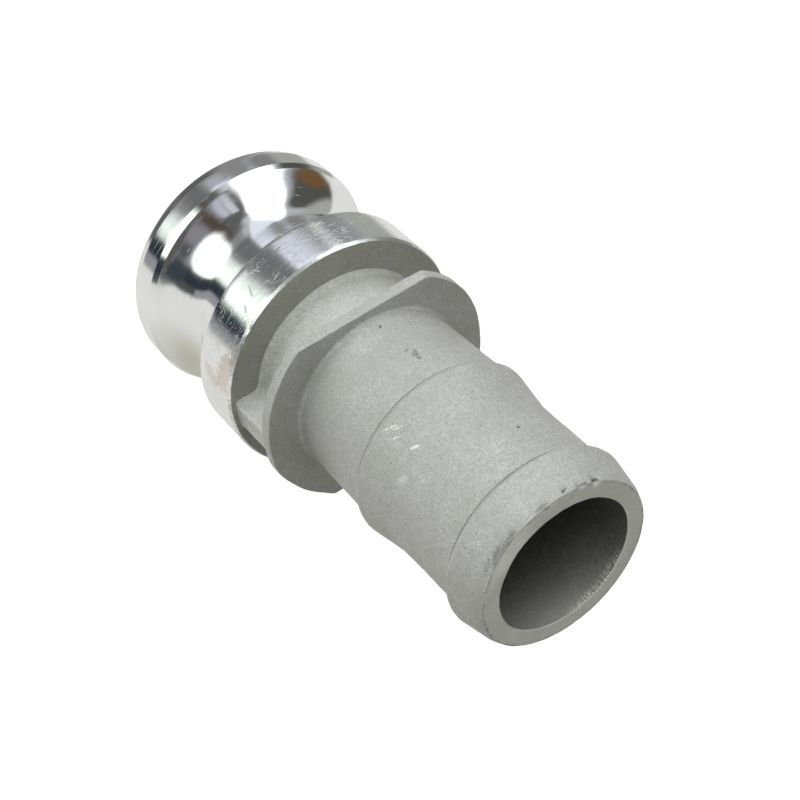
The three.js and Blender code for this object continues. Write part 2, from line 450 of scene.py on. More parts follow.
def burnished_edge():
    """The rubbed edge of a turned shoulder: bright, and less sharp than the turned faces."""
    material, nodes, shader, place_on_part = start_material("burnished_edge")
    wear = nodes.noise(place_on_part, 1.3, 5.0, 0.65)
    nodes.feed(shader.inputs["Metallic"], 1.0)
    colour = nodes.blend(nodes.remap(wear, 0.40, 0.62), grey(0.62, 0.02), grey(0.97))
    nodes.feed(shader.inputs["Base Color"], colour)
    nodes.feed(shader.inputs["Roughness"], nodes.remap(wear, 0.35, 0.7, 0.42, 0.26))
    nodes.feed(shader.inputs["Normal"], nodes.bump(wear, 0.05, 0.5))
    return material


def cast_aluminium(name="cast_aluminium", shade=0.63, warmth=0.014, marks=(), shaded_creases=()):
    """Grit-blasted casting: pale matt grey with a fine sparkle, small dark pits and soft mottling.
    marks lie over it, and shaded_creases are the heights of dark lines of painted shade round it, in mm."""
    material, nodes, shader, place_on_part = start_material(name)
    fine = nodes.noise(place_on_part, 0.32, 3.0, 0.7, 0.6)
    medium = nodes.noise(place_on_part, 1.3, 5.0, 0.66, 0.5)
    broad = nodes.noise(place_on_part, 8.0, 4.0, 0.55)
    pore_spacing = 1.9 * MM
    cells = nodes.add("ShaderNodeTexVoronoi", {"Vector": place_on_part, "Scale": 1 / pore_spacing})
    in_pore = nodes.remap(cells.outputs["Distance"], 0.05, 0.14, 1.0, 0.0)
    pore = nodes.math("MULTIPLY", in_pore, nodes.remap(medium, 0.54, 0.64))
    dim = grey(shade * 0.90, warmth * 2)
    pale = grey(shade * 1.08, -0.004)
    tone = nodes.blend(nodes.remap(broad, 0.34, 0.66), dim, pale)
    clouded = nodes.blend(nodes.remap(medium, 0.34, 0.62), grey(shade * 0.84, warmth * 2), tone)
    speckled = nodes.blend(nodes.remap(fine, 0.32, 0.58), grey(shade * 0.62, warmth), clouded)
    bright = nodes.remap(fine, 0.60, 0.76)
    flecked = nodes.blend(nodes.math("MULTIPLY", bright, 0.40), speckled, grey(shade * 1.4))
    colour = nodes.blend(nodes.math("MULTIPLY", pore, 0.75), flecked, grey(shade * 0.25))
    rough = nodes.remap(fine, 0.35, 0.7, 0.50, 0.32)
    ragged = nodes.remap(nodes.noise(place_on_part, 0.35, 4.0, 0.7), 0.3, 0.7, -1.1, 1.0)
    for *mark, mark_shade, strength in marks:
        mask = spot(nodes, place_on_part, ragged, mark)
        colour = nodes.blend(nodes.math("MULTIPLY", mask, strength), colour, grey(mark_shade))
        rough = nodes.math("MULTIPLY_ADD", mask, -0.15, rough)
    height = nodes.split(place_on_part)[2]
    # Painted shade: a broken dark line round the part at each crease.
    for crease in shaded_creases:
        away = nodes.math("ABSOLUTE", nodes.math("SUBTRACT", height, (crease - CREASE_SHADE_BELOW) * MM))
        line = nodes.remap(away, CREASE_SHADE_CORE * MM, CREASE_SHADE_EDGE * MM, 0.6, 0.0, smooth=True)
        crease_shade = nodes.math("MULTIPLY", line, nodes.remap(medium, 0.24, 0.44))
        colour = nodes.blend(crease_shade, colour, grey(shade * 0.2, 0.04))
    nodes.feed(shader.inputs["Base Color"], colour)
    nodes.feed(shader.inputs["Metallic"], 0.62)
    nodes.feed(shader.inputs["Roughness"], rough)
    grain = nodes.bump(fine, 0.24, 1.0)
    lumps = nodes.bump(medium, 0.26, 0.7, grain)
    nodes.feed(shader.inputs["Normal"], nodes.bump(pore, -0.10, 0.7, lumps))
    return material


def bore_aluminium():
    """The cored bore: darker and rougher, paler low down, with bright burrs beside the open end."""
    material, nodes, shader, place_on_part = start_material("cored_bore")
    fine = nodes.noise(place_on_part, 0.5, 4.0, 0.7)
    medium = nodes.noise(place_on_part, 2.2, 4.0, 0.6)
    # The bore's dark greys are painted shade of its depth.
    tone = nodes.blend(nodes.remap(medium, 0.34, 0.66), grey(0.17, 0.05), grey(0.23, 0.04))
    gritty = nodes.blend(nodes.remap(fine, 0.34, 0.62), grey(0.12, 0.05), tone)
    height = nodes.split(place_on_part)[2]
    # Paler low down near the open end: painted light on the bore's lower wall.
    towards_lit_side = nodes.dot(place_on_part, tuple(on_surface(1.0, 0.0, PAINTED_LIGHT_MIDDLE)))
    low_down = nodes.remap(towards_lit_side, PAINTED_LIGHT_EDGE * MM, SHANK_BORE * MM)
    painted_light = nodes.math("MULTIPLY", low_down, nodes.remap(height, PAINTED_LIGHT_START * MM, PAINTED_LIGHT_FULL * MM))
    gritty = nodes.blend(nodes.math("MULTIPLY", painted_light, 0.5), gritty, grey(0.62, 0.03))
    towards_burrs = nodes.dot(place_on_part, tuple(on_surface(1.0, 0.0, BURR_MIDDLE)))
    beside = nodes.remap(towards_burrs, BURR_EDGE * MM, BURR_FULL * MM, smooth=True)
    near_end = nodes.remap(height, BURR_START * MM, BURR_END * MM, 0.0, 0.9, smooth=True)
    unrolled = round_place(nodes, place_on_part, SHANK_BORE)
    burrs = streaks(nodes, unrolled, tilt=80, length_mm=1.5, width_mm=0.18, low=0.50, high=0.60)
    burred = nodes.math("MULTIPLY", nodes.math("MULTIPLY", beside, near_end), burrs)
    nodes.feed(shader.inputs["Base Color"], nodes.blend(burred, gritty, grey(0.95)))
    nodes.feed(shader.inputs["Metallic"], 0.3)
    nodes.feed(shader.inputs["Roughness"], nodes.remap(fine, 0.35, 0.7, 0.74, 0.50))
    grain = nodes.bump(fine, 0.2, 0.8)
    nodes.feed(shader.inputs["Normal"], nodes.bump(medium, 0.3, 0.7, grain))
    return material


def cut_aluminium():
    """The sawn and filed end face: smoother than the casting, with file grain and a dark outer edge."""
    material, nodes, shader, place_on_part = start_material("cut_aluminium")
    grain = nodes.noise(nodes.stretch(place_on_part, (1.0, 6.0, 1.0)), 1.2, 5.0, 0.65)
    broad = nodes.noise(place_on_part, 5.0, 3.0, 0.5)
    tone = nodes.blend(nodes.remap(grain, 0.35, 0.68), grey(0.78, 0.03), grey(0.96, 0.02))
    face = nodes.blend(nodes.remap(broad, 0.4, 0.7, 0.0, 0.4), tone, grey(0.95, 0.015))
    settings = {0: place_on_part, 1: (1, 1, 0)}
    on_face = nodes.add("ShaderNodeVectorMath", settings, operation="MULTIPLY").outputs[0]
    radius = nodes.add("ShaderNodeVectorMath", {0: on_face}, operation="LENGTH").outputs["Value"]
    gritty = nodes.noise(place_on_part, 2.2, 6.0, 0.75)
    raggedness = 3.0
    ragged = nodes.math("MULTIPLY_ADD", gritty, raggedness * MM, radius)
    rim_start = END_RADIUS + 1.0
    rim_full = END_RADIUS + 1.7
    rim = nodes.remap(ragged, rim_start * MM, rim_full * MM, 0.0, 0.75, smooth=True)
    nodes.feed(shader.inputs["Base Color"], nodes.blend(rim, face, grey(0.16, 0.05)))
    nodes.feed(shader.inputs["Metallic"], 0.35)
    nodes.feed(shader.inputs["Roughness"], nodes.remap(grain, 0.35, 0.7, 0.55, 0.40))
    nodes.feed(shader.inputs["Normal"], nodes.bump(grain, 0.05, 0.5))
    return material


# Rubs and dark pits on the cast sections, as (radius, z, degrees, length, width, tilt, shade, strength).
SHANK_MARKS = (
    (20.0, 76.8, 124.5, 2.8, 0.34, 122, 1.0, 0.9),
    (19.8, 77.9, 122.6, 2.4, 0.30, 118, 1.0, 0.85),
    (19.5, 79.0, 126.0, 1.8, 0.28, 126, 1.0, 0.7),
    (18.9, 83.1, 123.3, 2.0, 0.5, 120, 1.0, 0.85),
    (18.7, 84.6, 142.3, 3.2, 1.6, 115, 0.85, 0.4),
    (18.7, 89.0, 133.0, 2.4, 0.7, 120, 0.85, 0.35),
    (18.7, 96.2, 93.0, 2.8, 0.6, 110, 0.9, 0.35),
    (18.7, 93.4, 73.5, 0.6, 0.6, 0, 0.10, 0.9),
)
ROOT_MARKS = (
    (18.6, 55.7, 85.5, 1.1, 0.6, 40, 0.14, 0.75),
    (18.6, 56.5, 84.4, 0.7, 0.4, 0, 0.9, 0.5),
    (18.9, 66.4, 83.7, 2.0, 1.2, 30, 0.24, 0.6),
    (19.0, 67.9, 84.2, 1.1, 0.8, 0, 0.18, 0.6),
    (19.0, 64.8, 86.5, 1.0, 0.5, 60, 0.25, 0.5),
)
END_MARKS = (
    (18.4, 110.9, 62.8, 1.8, 0.9, 90, 0.10, 0.85),
    (18.6, 110.6, 84.3, 1.2, 0.6, 70, 0.12, 0.8),
    (18.4, 111.0, 73.0, 2.2, 0.5, 90, 0.14, 0.7),
    (18.5, 110.8, 100.0, 3.0, 0.6, 90, 0.20, 0.6),
    (18.6, 110.6, 126.0, 5.0, 1.0, 84, 0.20, 0.6),
    (18.6, 110.4, 137.0, 4.4, 1.2, 80, 0.22, 0.6),
    (18.9, 109.8, 143.0, 3.0, 0.8, 74, 0.26, 0.45),
)

# Painted light low down in the bore, a pale patch by the open end: the middle of its side in degrees, how
# far from the axis towards that side it begins, and the heights where it begins and is full, in mm.
PAINTED_LIGHT_MIDDLE = -105
PAINTED_LIGHT_EDGE = 3.0
PAINTED_LIGHT_START = 98.0
PAINTED_LIGHT_FULL = 112.0
# Burrs that the file left inside the open end: their middle, then where they begin and are full, sideways
# and in height.
BURR_MIDDLE = -58
BURR_EDGE = 11.8
BURR_FULL = 14.0
BURR_START = SHANK_END - 2.0
BURR_END = SHANK_END - 0.2

# The radius at which the rings and scratches of the turned head are unrolled.
TURNED_RADIUS = 26.0

# Stains and scuffs on the collar, as (z, degrees, length, width, tilt, colour).
SCUFF_DARK = grey(0.30)
SCUFF_BRIGHT = grey(1.0)
COLLAR_STAINS = (
    (37.6, 158.0, 5.0, 9.0, 10, (0.62, 0.50, 0.40, 1)),
    (39.0, 147.0, 1.4, 5.0, 5, (0.55, 0.45, 0.37, 1)),
    (33.0, 165.0, 6.0, 3.0, 30, (0.70, 0.64, 0.57, 1)),
    (36.2, 128.0, 2.0, 0.5, 35, SCUFF_DARK),
    (37.9, 140.0, 1.6, 1.1, 0, SCUFF_DARK),
    (34.5, 121.0, 3.4, 0.35, 20, SCUFF_DARK),
    (30.6, 118.0, 2.6, 0.5, 55, SCUFF_BRIGHT),
    (32.2, 113.0, 1.8, 0.4, -30, SCUFF_BRIGHT),
    (36.8, 109.0, 2.2, 0.6, 70, SCUFF_BRIGHT),
    (31.5, 101.0, 2.8, 0.4, 80, SCUFF_DARK),
    (35.6, 97.0, 1.5, 0.9, 40, SCUFF_BRIGHT),
    (33.4, 90.0, 3.0, 0.45, -60, SCUFF_BRIGHT),
    (37.2, 84.0, 1.8, 0.7, 15, SCUFF_DARK),
    (30.8, 79.0, 2.4, 0.4, 65, SCUFF_BRIGHT),
    (35.0, 72.0, 1.6, 0.8, -20, SCUFF_BRIGHT),
)

TURNED = turned_aluminium()
WORN = turned_aluminium("worn_collar", wear=1.0, stains=COLLAR_STAINS)
EDGE = burnished_edge()
CAST = cast_aluminium()
# The collar's back face, in the recess before the flange: a darker, warmer copy of the casting, as painted
# shade.
RECESS_SHADE = cast_aluminium("cast_recess_shade", shade=0.52, warmth=0.035)
# The neck between the collar and the flange: a paler copy of the casting, as painted light.
NECK_LIT = cast_aluminium("cast_neck_lit", shade=0.74)
ROOT = cast_aluminium("cast_root", marks=ROOT_MARKS, shaded_creases=(ROOT_END,))
SHANK = cast_aluminium("cast_shank", marks=SHANK_MARKS, shaded_creases=(ROOT_END, LAND_END))
END = cast_aluminium("cast_end", marks=END_MARKS, shaded_creases=(LAND_END,))
BORE = bore_aluminium()
CUT = cut_aluminium()


# ---------------------------------------------------------------- the turned head

def sealing_rim():
    """The rim that presses on the coupler's gasket: a bevelled front, a straight land and a plain back."""
    corners = [
        Corner(RIM_FACE_RADIUS, 0, 0.12, 0.3),
        Corner(RIM_BEVEL_RADIUS, RIM_BEVEL_Z, 0.6, 0.6),
        Corner(RIM_RADIUS, RIM_LAND_START, 0.9, MEDIUM),
        Corner(RIM_RADIUS, RIM_LAND_END, 0.12, 0.4),
        Corner(RIM_BACK_RADIUS, RIM_BACK),
        Corner(HEAD_BORE, RIM_BACK, 0, COARSE, 1),
        Corner(HEAD_BORE, BORE_CHAMFER, 0.1, 0.4),
        Corner(HEAD_BORE + BORE_CHAMFER, 0, 0.1, MEDIUM),
    ]
    mesh = turned_piece("sealing_rim", corners, [TURNED, BORE])
    place("sealing_rim", mesh, "machined_aluminium", "sealing_rim")


def cam_groove():
    """The groove that the cams grip: a concave flare behind the rim, then a straight floor."""
    rise = RIM_BACK_RADIUS - GROOVE_RADIUS
    run = GROOVE_STRAIGHT - RIM_BACK
    arc_radius = (rise * rise + run * run) / (2 * rise)
    sweep = math.asin(run / arc_radius)
    steps = 36
    corners = []
    for number in range(steps + 1):
        turn = sweep * (1 - number / steps)
        radius = GROOVE_RADIUS + arc_radius * (1 - math.cos(turn))
        corners.append(Corner(radius, GROOVE_STRAIGHT - arc_radius * math.sin(turn), 0, MEDIUM))
    corners += [
        Corner(GROOVE_RADIUS, GROOVE_END),
        Corner(HEAD_BORE, GROOVE_END, 0, COARSE, 1),
        Corner(HEAD_BORE, RIM_BACK),
    ]
    mesh = turned_piece("cam_groove", corners, [TURNED, BORE])
    place("cam_groove", mesh, "machined_aluminium", "groove_flare", "groove_neck")


# Dings in the edge of the collar's back, as (radius, z, degrees, width, depth).
COLLAR_DINGS = (
    (26.7, 38.2, 139.8, 0.9, -0.35),
    (26.5, 39.8, 140.3, 0.8, -0.40),
    (26.5, 39.8, 133.0, 0.5, -0.20),
)


def collar_surface(points):
    return cast_surface(points, COLLAR_DINGS)


def stop_collar():
    """The collar behind the groove: turned outside and as cast behind, with a rubbed edge between."""
    corners = [
        Corner(COLLAR_RADIUS, GROOVE_END, 0.45, MEDIUM),
        Corner(COLLAR_RADIUS, COLLAR_BACK - COLLAR_CHAMFER_Z, 0.12, 0.3, 3),
        Corner(COLLAR_RADIUS - COLLAR_CHAMFER_R, COLLAR_BACK, 0.1, FINE, 1, rough=True),
        Corner(NECK_RADIUS, COLLAR_BACK, 0, COARSE, 1),
        Corner(HEAD_BORE, COLLAR_BACK, 0, COARSE, 2),
        Corner(HEAD_BORE, GROOVE_END),
    ]
    # The as-cast back face takes the darker copy of the casting, as painted shade of its recess.
    mesh = turned_piece("stop_collar", corners, [WORN, RECESS_SHADE, BORE, EDGE], collar_surface)
    place("stop_collar", mesh, "machined_aluminium", "stop_collar")


# ---------------------------------------------------------------- the cast body

def smooth_min(first, second, width):
    """The smaller of two values, eased over a width where they cross."""
    blend = np.clip(0.5 + 0.5 * (second - first) / width, 0, 1)
    return second + (first - second) * blend - width * blend * (1 - blend)


def dense_angles(count, centres, half_width, extra):
    """Angles round the part, closer together near the given centres."""
    samples = 20001
    fine = np.linspace(0, 2 * math.pi, samples)
    weight = np.ones_like(fine)
    for centre in centres:
        away = np.abs((fine - centre + math.pi) % (2 * math.pi) - math.pi)
        weight += extra * np.exp(-((away / half_width) ** 2))
    total = np.concatenate([[0], np.cumsum((weight[1:] + weight[:-1]) / 2)])
    return np.interp(np.arange(count) / count * total[-1], total, fine)


def ribbed_radius(angles, grow):
    """Radius of the ribbed neck's outline at each angle, found by halving a bracket.
    Everything is grown by grow (a column of one height each) for the fillets."""
    rounding = 0.9
    root_blend = 1.8
    halvings = 26
    low = np.full((len(grow), len(angles)), NECK_RADIUS - 1.0)
    high = np.full_like(low, RIM_RADIUS + 2.0)
    across = np.abs(np.cos(angles))
    aside = np.abs(np.sin(angles))
    for _ in range(halvings):
        radius = (low + high) / 2
        x = radius * across - RIB_REACH + rounding
        y = radius * aside - RIB_HALF_THICKNESS + rounding
        rib = np.hypot(np.maximum(x, 0), np.maximum(y, 0)) + np.minimum(np.maximum(x, y), 0) - rounding
        outside = smooth_min(rib, radius - NECK_RADIUS, root_blend) > grow
        high = np.where(outside, radius, high)
        low = np.where(outside, low, radius)
    return radius


def ribbed_neck():
    """The neck behind the collar, with two side ribs and a fillet at each end."""
    row_count = 30
    column_count = 560
    rib_width = math.radians(9)
    low = COLLAR_BACK - EMBED
    high = NECK_END + EMBED
    heights = np.linspace(low, high, row_count)
    angles = dense_angles(column_count, (0, math.pi, 2 * math.pi), rib_width, extra=5.0)
    from_end = np.minimum(heights - COLLAR_BACK, NECK_END - heights)
    into = np.clip(NECK_FILLET - from_end, 0, NECK_FILLET)
    grow = NECK_FILLET - np.sqrt(np.maximum(NECK_FILLET ** 2 - into ** 2, 0))
    radius = ribbed_radius(angles, grow[:, None])
    # No narrower than the neck, and no wider than the rib's fillet may grow or the flange above it.
    sharp_blend = 0.01
    fillet_growth = 0.25
    soft_blend = 0.3
    inside_flange = 0.1
    radius = -smooth_min(-radius, np.full_like(radius, -NECK_RADIUS), sharp_blend)
    radius = smooth_min(radius, np.full_like(radius, RIB_REACH + fillet_growth), soft_blend)
    radius = np.minimum(radius, flange_outline(angles) - inside_flange)
    outside = np.stack([radius * np.cos(angles), radius * np.sin(angles)], axis=-1)
    outside = np.concatenate([outside, np.repeat(heights[:, None, None], len(angles), axis=1)], axis=-1)
    shape = outside.shape
    move = cast_surface(outside.reshape(-1, 3)).reshape(shape[:2])
    outside[..., 0] += move * np.cos(angles)
    outside[..., 1] += move * np.sin(angles)
    inside = spin(np.array([[SHANK_BORE, high], [HEAD_BORE, low]]), angles)
    points = np.concatenate([outside, inside])
    slots = [0] * len(heights) + [1, 0]
    # The neck takes the paler copy of the casting, as painted light.
    mesh = grid_mesh("ribbed_neck", points, slots, [NECK_LIT, BORE])
    place("ribbed_neck", mesh, "cast_aluminium", "ribbed_neck")


# The as-cast flange isn't quite round: lumps and hollows of its outline, as (degrees, width, height).
FLANGE_LUMPS = ((34, 13, 0.25), (-4, 16, -0.45), (192, 9, 0.25), (208, 7, -0.15), (226, 12, -0.40))
# Where the wrench flats meet the round outline, in degrees.
FLAT_ENDS = (54, 126, 234, 306)


def flange_outline(angles):
    """Radius of the wrench flange's outline: round, cut by two flats, with softened corners."""
    softening = 0.35
    smallest_sine = 0.05
    flat = FLAT_REACH / np.maximum(np.abs(np.sin(angles)), smallest_sine)
    cast = np.full_like(flat, FLANGE_RADIUS)
    for centre, width, height in FLANGE_LUMPS:
        away = (np.degrees(angles) - centre + 180) % 360 - 180
        cast += height * np.exp(-((away / width) ** 2))
    return smooth_min(cast, flat, softening)


def wrench_flange():
    """The thin flange: two cast faces and a rounded rim that follows the outline."""
    face_steps = 22
    edge_steps = 6
    column_count = 520
    rounding = FLANGE_ROUNDING
    middle = (NECK_END + FLANGE_BACK) / 2
    half = (FLANGE_BACK - NECK_END) / 2
    angles = dense_angles(column_count, np.radians(FLAT_ENDS), math.radians(6), extra=3.0)
    outline = flange_outline(angles)
    # Each row as (share of the way from the bore to the outline, inset from the outline, z).
    rows = []
    for number in range(face_steps + 1):
        rows.append((number / face_steps, rounding, NECK_END))
    for number in range(1, edge_steps + 1):
        turn = math.radians(90 * number / edge_steps)
        rows.append((1, rounding * (1 - math.sin(turn)), NECK_END + rounding * (1 - math.cos(turn))))
    rows.append((1, 0, middle))
    for number in range(edge_steps):
        turn = math.radians(90 * number / edge_steps)
        rows.append((1, rounding * (1 - math.cos(turn)), FLANGE_BACK - rounding * (1 - math.sin(turn))))
    for number in range(face_steps + 1):
        rows.append((1 - number / face_steps, rounding, FLANGE_BACK))
    points = np.zeros((len(rows), len(angles), 3))
    for number, (share, inset, z) in enumerate(rows):
        radius = SHANK_BORE + (outline - inset - SHANK_BORE) * share
        points[number, :, 0] = radius * np.cos(angles)
        points[number, :, 1] = radius * np.sin(angles)
        points[number, :, 2] = z
    move = cast_surface(points.reshape(-1, 3)).reshape(points.shape[:2])
    share = np.array([row[0] for row in rows])[:, None]
    upright = (points[..., 2] - middle) / half
    points[..., 2] += move * upright * np.clip(share * 6, 0, 1)
    outward = np.clip(1 - np.abs(upright), 0, 1) + 0.3 * share
    points[..., 0] += move * outward * np.cos(angles) * share
    points[..., 1] += move * outward * np.sin(angles) * share
    slots = [0] * (len(rows) - 1) + [1]
    mesh = grid_mesh("wrench_flange", points, slots, [CAST, BORE])
    place("wrench_flange", mesh, "cast_aluminium", "wrench_flange")


# Pits in the first stretch of the shank, as (radius, z, degrees, width, depth).
ROOT_PITS = (
    (18.6, 55.7, 85.5, 0.6, -0.25),
    (18.9, 66.4, 83.7, 0.8, -0.20),
    (19.0, 67.9, 84.2, 0.5, -0.20),
)


def root_surface(points):
    return cast_surface(points, ROOT_PITS)


def shank_root():
    """The first stretch of the shank: a fillet on the flange, a slow widening and a crease at its end."""
    fillet_steps = 7
    corners = [Corner(ROOT_RADIUS + ROOT_FILLET, FLANGE_BACK - EMBED, 0, EMBED)]
    for number in range(fillet_steps + 1):
        turn = math.radians(90 * number / fillet_steps)
        radius = ROOT_RADIUS + ROOT_FILLET * (1 - math.sin(turn))
        height = FLANGE_BACK + ROOT_FILLET * (1 - math.cos(turn))
        corners.append(Corner(radius, height, 0, FINE, 0, rough=True))
    corners += [
        Corner(ROOT_TOP_RADIUS, ROOT_END - CREASE_WIDTH, 0.2, 0.3, 0, rough=True),
        Corner(ROOT_TOP_RADIUS - CREASE_DEPTH, ROOT_END),
        Corner(SHANK_BORE, ROOT_END, 0, MEDIUM, 1, rough=True),
        Corner(SHANK_BORE, FLANGE_BACK, 0, EMBED, 1),
        Corner(SHANK_BORE + 1, FLANGE_BACK - EMBED),
    ]
    mesh = turned_piece("shank_root", corners, [ROOT, BORE], root_surface, (ROOT_END,))
    place("shank_root", mesh, "cast_aluminium", "shank_root")


def middle_barb():
    """The first barb with its long back slope, and the straight land behind it."""
    corners = [
        Corner(ROOT_TOP_RADIUS - CREASE_DEPTH, ROOT_END, 0, 0.3, 0, rough=True),
        Corner(ROOT_TOP_RADIUS + BARB_STEP, ROOT_END + BARB_STEP_LENGTH, 0.2, 0.3, 0, rough=True),
        Corner(CREST_RADIUS, ROOT_END + BARB_RISE, 2.5, FINE, 0, rough=True),
        Corner(LAND_RADIUS, BARB_END, 12.0, FINE, 0, rough=True),
        Corner(LAND_RADIUS, LAND_END - CREASE_WIDTH, 0.2, 0.3, 0, rough=True),
        Corner(LAND_RADIUS - CREASE_DEPTH, LAND_END),
        Corner(SHANK_BORE, LAND_END, 0, MEDIUM, 1, rough=True),
        Corner(SHANK_BORE, ROOT_END),
    ]
    mesh = turned_piece("middle_barb", corners, [SHANK, BORE], cast_surface, (ROOT_END, LAND_END))
    place("middle_barb", mesh, "cast_aluminium", "middle_barb", "shank_land")


# Nicks and filed places on the outer edge of the hose end, as (radius, z, degrees, width, depth).
END_DINGS = (
    (18.4, 110.9, 62.8, 0.8, -0.45),
    (18.8, 110.2, 84.3, 0.6, -0.30),
    (18.5, 110.9, 74.0, 0.7, -0.35),
    (18.4, 110.9, 95.0, 0.6, -0.25),
    (18.4, 111.0, 118.0, 2.2, -0.35),
    (18.4, 111.0, 128.0, 2.6, -0.50),
    (18.4, 111.0, 138.0, 2.2, -0.45),
    (18.4, 111.0, 150.0, 1.8, -0.20),
)
# File chatter on the bore's edge, beside the burrs: half its width in degrees, the height of its waves, how
# far it reaches from the bore's wall and from the end, all in mm, and the number of waves in a full turn.
CHATTER_HALF_WIDTH = 24
CHATTER_HEIGHT = 0.14
CHATTER_REACH = 1.2
CHATTER_DEPTH = 1.5
CHATTER_WAVES = 110


def end_surface(points):
    """As cast, with nicks on the outer edge and file chatter on part of the bore's edge."""
    radius = np.hypot(points[:, 0], points[:, 1])
    degrees = np.degrees(np.arctan2(points[:, 1], points[:, 0]))
    near_bore = np.clip(1 - np.abs(radius - SHANK_BORE) / CHATTER_REACH, 0, 1)
    at_edge = near_bore * (points[:, 2] > SHANK_END - CHATTER_DEPTH)
    beside_burrs = np.clip(1 - np.abs(degrees - BURR_MIDDLE) / CHATTER_HALF_WIDTH, 0, 1)
    chatter = CHATTER_HEIGHT * at_edge * beside_burrs * np.sin(np.radians(degrees) * CHATTER_WAVES)
    return cast_surface(points, END_DINGS) + chatter


def end_barb():
    """The second barb, its taper and the cut hose end."""
    corners = [
        Corner(LAND_RADIUS - CREASE_DEPTH, LAND_END, 0, 0.3, 0, rough=True),
        Corner(LAND_RADIUS + BARB_STEP, LAND_END + BARB_STEP_LENGTH, 0.2, 0.3, 0, rough=True),
        Corner(CREST_RADIUS, LAND_END + BARB_RISE, 2.5, FINE, 0, rough=True),
        Corner(TAPER_TOP_RADIUS, TAPER_TOP, 2.0, 0.25, 0, rough=True),
        Corner(END_RADIUS, SHANK_END, 0.25, 0.3, 1, rough=True),
        Corner(SHANK_BORE, SHANK_END, 0.12, FINE, 2, rough=True),
        Corner(SHANK_BORE, LAND_END),
    ]
    mesh = turned_piece("end_barb", corners, [END, CUT, BORE], end_surface, (LAND_END,))
    place("end_barb", mesh, "cast_aluminium", "end_barb")


sealing_rim()
cam_groove()
stop_collar()
ribbed_neck()
wrench_flange()
shank_root()
middle_barb()
end_barb()


# ---------------------------------------------------------------- studio

# The photographed part lies on a white table, so the studio's up is near the part's +Y.
STUDIO_UP = Vector((0.159, 0.987, 0.0)).normalized()
STUDIO_AHEAD = Vector((0.0, 0.0, 1.0))
STUDIO_SIDE = STUDIO_UP.cross(STUDIO_AHEAD)


